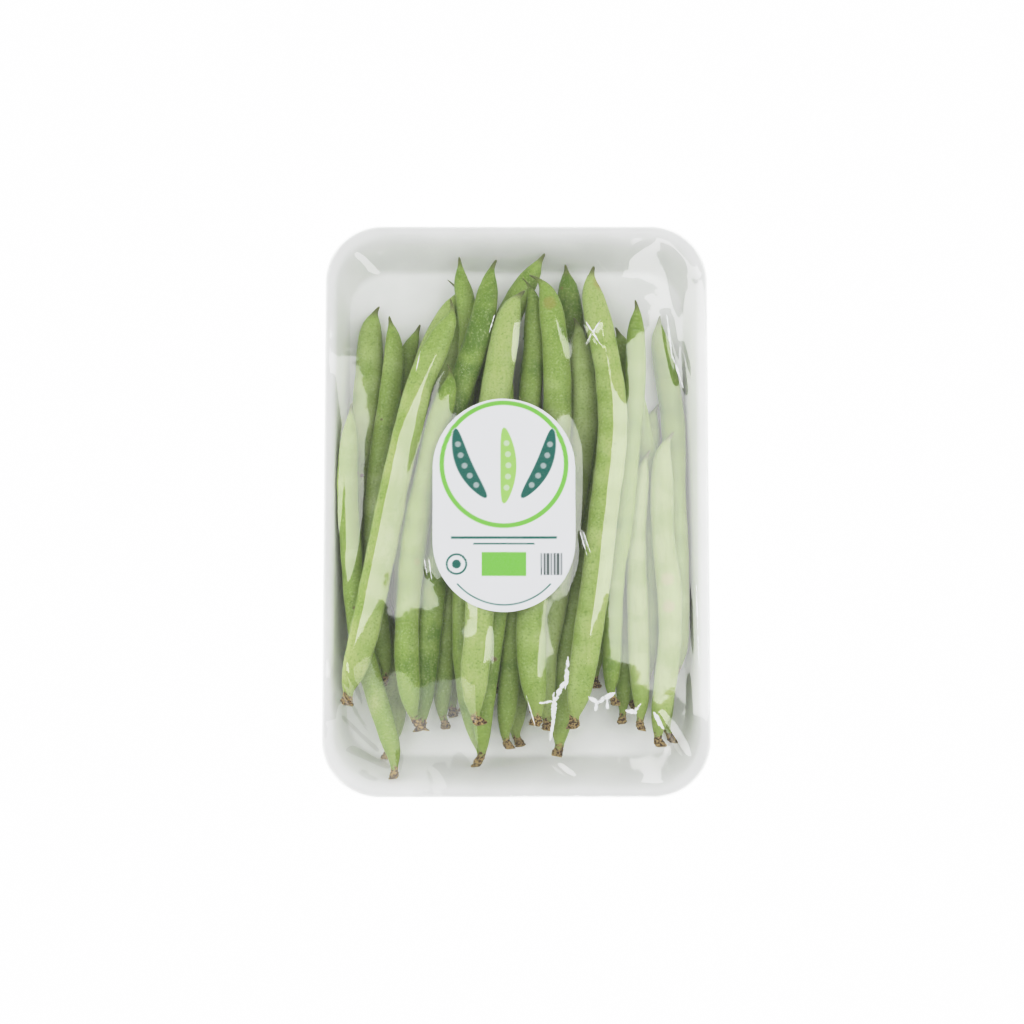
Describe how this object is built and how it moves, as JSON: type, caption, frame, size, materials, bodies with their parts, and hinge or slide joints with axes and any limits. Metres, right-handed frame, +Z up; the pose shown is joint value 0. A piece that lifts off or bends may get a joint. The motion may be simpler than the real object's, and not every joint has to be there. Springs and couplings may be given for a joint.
{
  "type": "green bean pack",
  "caption": "Long green bean pods laid side by side in a shallow white foam tray, wrapped in clear stretch film with an oval paper label.",
  "frame": {"origin": "middle of the pack's underside, on the surface it lies on", "axes": "+Z up, +Y along the tray towards the end where the pods' pointed tips lie, +X to the right seen from above"},
  "size_m": [0.143, 0.2118, 0.0385],
  "materials": {
    "foam": "matte, fine foam skin",
    "film": "clear, glossy, very thin",
    "label": "smooth coated paper, printed",
    "pod_dark": "smooth skin with a faint satin gloss",
    "pod_mid": "smooth skin with a faint satin gloss",
    "pod_pale": "smooth skin with a faint satin gloss"
  },
  "bodies": {
    "root": {"foam_tray": "foam", "pod_floor_left": "pod_mid", "pod_floor_left_inner": "pod_mid", "pod_floor_label_left": "pod_mid", "pod_floor_slanted": "pod_mid", "pod_floor_centre": "pod_mid", "pod_floor_dark_tip": "pod_dark", "pod_floor_pale_tip": "pod_mid", "pod_floor_under_label": "pod_mid", "pod_floor_mid_right": "pod_mid", "pod_floor_right": "pod_mid", "pod_floor_right_outer": "pod_mid", "pod_floor_forked": "pod_mid", "pod_floor_right_wall": "pod_mid", "pod_mid_far_left": "pod_pale", "pod_mid_second_left": "pod_mid", "pod_mid_left_wall": "pod_mid", "pod_mid_slim_left": "pod_pale", "pod_mid_hooked": "pod_mid", "pod_mid_low_centre": "pod_mid", "pod_mid_shaded": "pod_mid", "pod_mid_spotted": "pod_mid", "pod_mid_pale_bend": "pod_pale", "pod_mid_right_gap": "pod_mid", "pod_mid_right_slim": "pod_pale", "pod_top_dark": "pod_dark", "pod_top_beside_left": "pod_mid", "pod_top_broad_centre": "pod_pale", "pod_top_broad_right": "pod_mid", "pod_top_milky_right": "pod_pale", "pod_top_straight_right": "pod_mid", "pod_top_long_right": "pod_pale", "pod_top_long_left": "pod_pale", "stretch_film": "film", "label": "label"}
  },
  "joints": []
}
